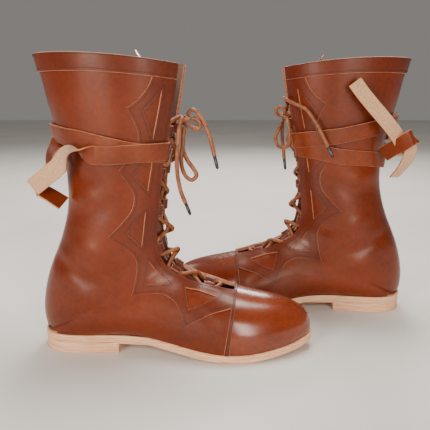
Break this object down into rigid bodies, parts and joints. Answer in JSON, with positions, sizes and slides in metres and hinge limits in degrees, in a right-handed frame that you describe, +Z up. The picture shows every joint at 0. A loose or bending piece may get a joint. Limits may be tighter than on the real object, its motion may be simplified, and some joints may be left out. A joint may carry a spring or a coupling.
{
  "type": "pair of laced leather boots",
  "caption": "Calf-high front-lacing leather boots with toe cap, collar band, pierced facing overlays, wrapped strap, leather sole and stacked heel; the tongue tops tilt.",
  "frame": {"origin": "on the floor under the middle of the pair, as it stands", "axes": "+X along the pair, the way the right boot's toe points; +Z up; the boots' outer and inner sides face -Y and +Y"},
  "size_m": [0.4362, 0.2492, 0.323],
  "materials": {
    "upper_leather": "smooth waxed saddle brown",
    "trim_leather": "smooth waxed saddle brown",
    "strap_leather": "smooth saddle brown with raw pale edges",
    "strap_suede": "flesh side, matt and fibrous",
    "natural_leather": "undyed vegetable tanned",
    "sole_leather": "undyed sole bend, burnished edge",
    "lace_leather": "round waxed cord",
    "aglet_steel": "dark gunmetal",
    "shank_steel": "plain"
  },
  "bodies": {
    "right_boot": {"right_aglet_front": "aglet_steel", "right_aglet_side": "aglet_steel", "right_bow_knot": "lace_leather", "right_bow_loop_long": "lace_leather", "right_bow_loop_short": "lace_leather", "right_collar_band": "trim_leather", "right_facing_overlay_lateral": "trim_leather", "right_facing_overlay_medial": "trim_leather", "right_heel_counter": "natural_leather", "right_heel_lift": "sole_leather", "right_heel_top_piece": "sole_leather", "right_insole": "natural_leather", "right_lace": "lace_leather", "right_lace_end_front": "lace_leather", "right_lace_end_side": "lace_leather", "right_lacing_loops_lateral": "trim_leather", "right_lacing_loops_medial": "trim_leather", "right_midsole": "natural_leather", "right_outsole": "sole_leather", "right_quarter_lateral": "upper_leather", "right_quarter_medial": "upper_leather", "right_shank": "shank_steel", "right_strap": "strap_leather", "right_strap_knot": "strap_leather", "right_toe_cap": "upper_leather", "right_toe_cap_strip": "upper_leather", "right_toe_puff": "natural_leather", "right_tongue": "trim_leather"},
    "right_tongue_flap": {"right_tongue_top": "trim_leather"},
    "right_strap_tail": {"right_strap_end": "strap_suede"},
    "left_boot": {"left_aglet_front": "aglet_steel", "left_aglet_side": "aglet_steel", "left_bow_knot": "lace_leather", "left_bow_loop_long": "lace_leather", "left_bow_loop_short": "lace_leather", "left_collar_band": "trim_leather", "left_facing_overlay_lateral": "trim_leather", "left_facing_overlay_medial": "trim_leather", "left_heel_counter": "natural_leather", "left_heel_lift": "sole_leather", "left_heel_top_piece": "sole_leather", "left_insole": "natural_leather", "left_lace": "lace_leather", "left_lace_end_front": "lace_leather", "left_lace_end_side": "lace_leather", "left_lacing_loops_lateral": "trim_leather", "left_lacing_loops_medial": "trim_leather", "left_midsole": "natural_leather", "left_outsole": "sole_leather", "left_quarter_lateral": "upper_leather", "left_quarter_medial": "upper_leather", "left_shank": "shank_steel", "left_strap": "strap_leather", "left_strap_knot": "strap_leather", "left_toe_cap": "upper_leather", "left_toe_cap_strip": "upper_leather", "left_toe_puff": "natural_leather", "left_tongue": "trim_leather"},
    "left_tongue_flap": {"left_tongue_top": "trim_leather"},
    "left_strap_tail": {"left_strap_end": "strap_suede"}
  },
  "joints": [
    {"name": "left_boot_lift", "type": "slide", "parent": "right_boot", "child": "left_boot", "axis": [0, 0, 1], "range_m": [0, 0.12]},
    {"name": "right_tongue_tilt", "type": "hinge", "parent": "right_boot", "child": "right_tongue_flap", "pos_m": [-0.07875, -0.06866, 0.2565], "axis": [0.0715, 0.9974, 0], "range_deg": [-10, 20]},
    {"name": "left_tongue_tilt", "type": "hinge", "parent": "left_boot", "child": "left_tongue_flap", "pos_m": [0.07896, 0.06462, 0.2565], "axis": [-0.0715, -0.9974, 0], "range_deg": [-10, 20]},
    {"name": "right_strap_tail_swing", "type": "hinge", "parent": "right_boot", "child": "right_strap_tail", "pos_m": [-0.18613, -0.09606, 0.207], "axis": [-0.9974, 0.0715, 0], "range_deg": [0, 40]},
    {"name": "left_strap_tail_swing", "type": "hinge", "parent": "left_boot", "child": "left_strap_tail", "pos_m": [0.1885, -0.0085, 0.231], "axis": [0.9974, -0.0715, 0], "range_deg": [0, 40]}
  ]
}
